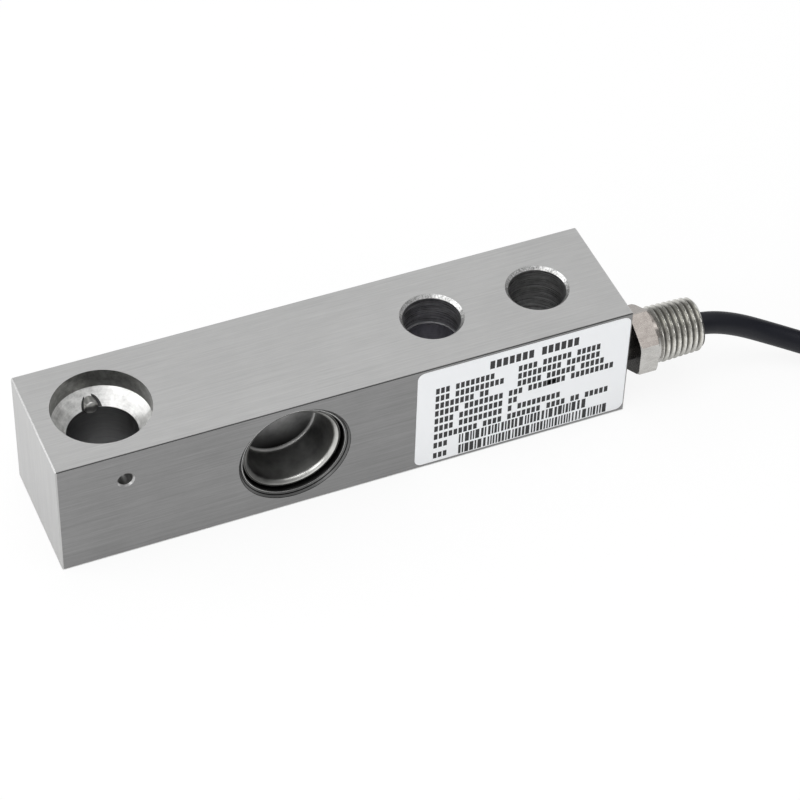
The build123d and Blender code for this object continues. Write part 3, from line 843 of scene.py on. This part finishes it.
nickel = Finish(bpy.data.materials.new("nickel_plate"))
nickel_place = nickel.place_in_mm()
nickel_turning = nickel.noise(nickel.stretched(nickel_place, (6.0, 0.3, 0.3)), 1.0, 3.0)
nickel_stain = nickel.noise(nickel.stretched(nickel_place, (0.5, 1.1, 1.1)), 1.0, 5.0, 0.65)
nickel_shade = nickel_stain.contrast(1.8)
nickel_radius = nickel.distance(nickel_place, (0, fitting_y, fitting_z), (0, 1, 1))
nickel_along = nickel.along(nickel_place, 0) - stub_start
nickel_height = nickel.along(nickel_place, 2) - fitting_z
thread_root = crest_radius - thread_depth - nickel_along * crest_taper
on_stub = nickel_along > 0.4
# Painted shade darkens the thread's valleys.
in_shaded_valley = (1 - (nickel_radius - thread_root).limited(0.05, 0.5)) * on_stub
# The neck in the gap before the hex is painted near black: painted shade.
on_shaded_neck = nickel.along(nickel_place, 0) < hex_start + 0.01
# The hex's upper face gets a darker brown streaked colour: the brown streaks are a stain, the
# darkness painted shade.
on_shaded_hex_top = (nickel.along(nickel.normal(), 2) > 0.6) * (nickel_along < 0)
# The stub darkens below and above its middle: painted shade.
shade_below = (1 - nickel_height.limited(-4.0, 0.5)) * 0.72
shade_above = nickel_height.limited(3.4, 6.2) * 0.6
stub_colour = nickel.blend(nickel_shade, colour(0.6, 0.585, 0.55), colour(0.95, 0.94, 0.9))
stub_colour = nickel.blend(shade_below + shade_above, stub_colour, colour(0.26, 0.26, 0.235))
nickel_colour = nickel.layered(
    nickel.blend(nickel_shade, colour(0.42, 0.41, 0.39), colour(0.62, 0.61, 0.59)),
    (on_shaded_hex_top, nickel.blend(nickel_shade, colour(0.24, 0.215, 0.2), colour(0.4, 0.37, 0.345))),
    (on_stub, stub_colour),
    (in_shaded_valley * 0.8, colour(0.05, 0.048, 0.042)),
    (on_shaded_neck, colour(0.06, 0.057, 0.054)),
)
nickel_material = nickel.principled(
    {
        "Base Color": nickel_colour,
        "Metallic": 1.0,
        "Roughness": 0.2 + nickel_stain * 0.14 + in_shaded_valley * 0.2,
        "Normal": nickel.bump(nickel_turning * 0.5 + nickel_stain * 0.5, 0.00003, 0.3),
    }
)
threaded_fitting.data.materials.append(nickel_material)


# Cable seal. A rubber bush between two washers grips the cable in the stub, and a hollow slotted
# screw squeezes it. The stripped cores and the drain wire run on from it to the feedthrough.
seal_black = plain_finish("seal_rubber", (0.012, 0.012, 0.012), (0.03, 0.03, 0.03), 0.6)
dress("seal_washers", nickel_material)
dress("gland_screw", nickel_material)
dress("seal_bush", seal_black)
dress("cable_jacket_end", jacket_material)
core_shades = {
    "red": ((0.45, 0.02, 0.015), (0.6, 0.04, 0.03)),
    "black": ((0.012, 0.012, 0.012), (0.03, 0.03, 0.03)),
    "green": ((0.01, 0.22, 0.05), (0.03, 0.34, 0.1)),
    "white": ((0.72, 0.72, 0.7), (0.86, 0.86, 0.84)),
    "shield": ((0.6, 0.42, 0.02), (0.75, 0.55, 0.05)),
}
insulation = {
    name: plain_finish(name + "_insulation", *shades, 0.35)
    for name, shades in core_shades.items()
}
for name in ("red", "black", "green", "white"):
    dress(name + "_core", insulation[name])
dress("drain_wire", tinned)


# Cable tie. One moulded black nylon band, drawn tight and closed round the coil's back run, so
# that the turns stay together.
tie_nylon = plain_finish("tie_nylon", (0.01, 0.01, 0.011), (0.025, 0.025, 0.027), 0.4)
dress("cable_tie", tie_nylon)


# Bare end of the cable. A shrunk sleeve closes the jacket, and the cores and the shield come out
# of it as short leads with tinned tips, ready for a terminal block.
sleeve_black = plain_finish("shrunk_sleeve", (0.008, 0.008, 0.008), (0.02, 0.02, 0.02), 0.45)
dress("end_sleeve", sleeve_black)
dress("tinned_tips", tinned)
lead_length, lead_straight, lead_slope = 20.0, 3.0, 6.0
lead_pitch, lead_fan, lead_radius = 1.05, 1.6, 0.5
slope_start, slope_end = lead_straight + lead_slope * 0.6, lead_straight + lead_slope * 1.4
lead_level = coil_height + lead_radius
leads_out_level = sleeve_axis - 0.8
lead_names = ("red", "white", "shield", "black", "green")
for rank, name in enumerate(lead_names, -(len(lead_names) // 2)):
    close, wide = rank * lead_pitch, rank * lead_fan
    middle = close + (wide - close) * lead_slope / (lead_length - lead_straight)
    lead_route = [
        on_top(0, close, leads_out_level),
        on_top(lead_straight, close, leads_out_level),
        on_top(slope_start, (close + middle) / 2, lead_level),
        on_top(slope_end, middle, lead_level),
        on_top(lead_length, wide, lead_level),
    ]
    lead = tube_curve(name + "_flying_lead", lead_route, lead_radius)
    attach(lead, "root")
    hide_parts(name + "_lead")
    lead.data.materials.append(insulation[name])


# Rating label. Silver white film, glued on the front face beside the end. Its print is a title,
# seven rows and two striped bands, all of plain blocks which say nothing.
film = Finish(bpy.data.materials.new("label_film"))
film_clouds = film.noise(film.place(), 45.0, 4.0)
film_grain = film.noise(film.place(), 2500.0, 2.0)
film_dark, film_pale = colour(0.92, 0.935, 0.955), colour(0.96, 0.975, 0.99)
film_material = film.principled(
    {
        "Base Color": film.blend(film_clouds, film_dark, film_pale),
        "Roughness": 0.42 + film_grain * 0.1,
        "Normal": film.bump(film_grain, 0.00001, 0.3),
    }
)
dress("rating_label", film_material)

# Marks are (left, bottom, width, height) on the front face.
marks = []


def printed_words(left, top, words, height, width, gap):
    """A row of words, each a run of small upright blocks."""
    for word in words:
        for letter in range(word):
            marks.append((left, top - height, width, height))
            left += width + gap
        left += width + gap


title_block = (2.4, 1.15, 0.4)
row_block = (1.7, 0.87, 0.31)
row_left = 70.9
printed_words(83.6, 27.5, (7, 6), *title_block)
for left, top, words in (
    (row_left, 23.6, (3, 8)),
    (90.6, 23.6, (4, 6, 5)),
    (row_left, 21.3, (3, 10)),
    (90.6, 21.3, (9, 7)),
    (row_left, 19.0, (8, 2)),
    (90.6, 19.0, (5, 6, 5)),
    (row_left, 16.7, (5, 8, 3, 6)),
    (97.8, 16.7, (4, 9)),
    (row_left, 14.3, (4, 9, 2)),
    (row_left, 11.9, (4, 9, 1, 9)),
    (row_left, 9.4, (9, 4, 7)),
    (98.2, 9.4, (4, 2, 5)),
    (row_left, 6.7, (3,)),
    (row_left, 3.5, (3,)),
):
    printed_words(left, top, words, *row_block)

label_random = random.Random(4)
band_left, band_height = 77.0, 2.8
stripe_widths, stripe_gaps = (0.35, 0.4, 0.6, 0.95), (0.25, 0.3, 0.45)
for band_right, bottom in ((107.2, 4.5), (112.9, 1.15)):
    left = band_left
    while left < band_right:
        width = label_random.choice(stripe_widths)
        marks.append((left, bottom, width, band_height))
        left += width + label_random.choice(stripe_gaps)

label_thickness, print_height = 0.12, 0.01
print_y = -half_width - label_thickness - print_height
print_points, print_faces = [], []
for left, bottom, width, height in marks:
    right, top = left + width, bottom + height
    first = len(print_points)
    for x, z in ((left, bottom), (right, bottom), (right, top), (left, top)):
        print_points.append((x * MM, print_y * MM, z * MM))
    print_faces.append((first, first + 1, first + 2, first + 3))
label_print = new_piece("label_print", print_points, print_faces)
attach(label_print, "root")
label_ink = plain_finish("label_ink", (0.008, 0.008, 0.009), (0.02, 0.02, 0.022), 0.5)
label_print.data.materials.append(label_ink)
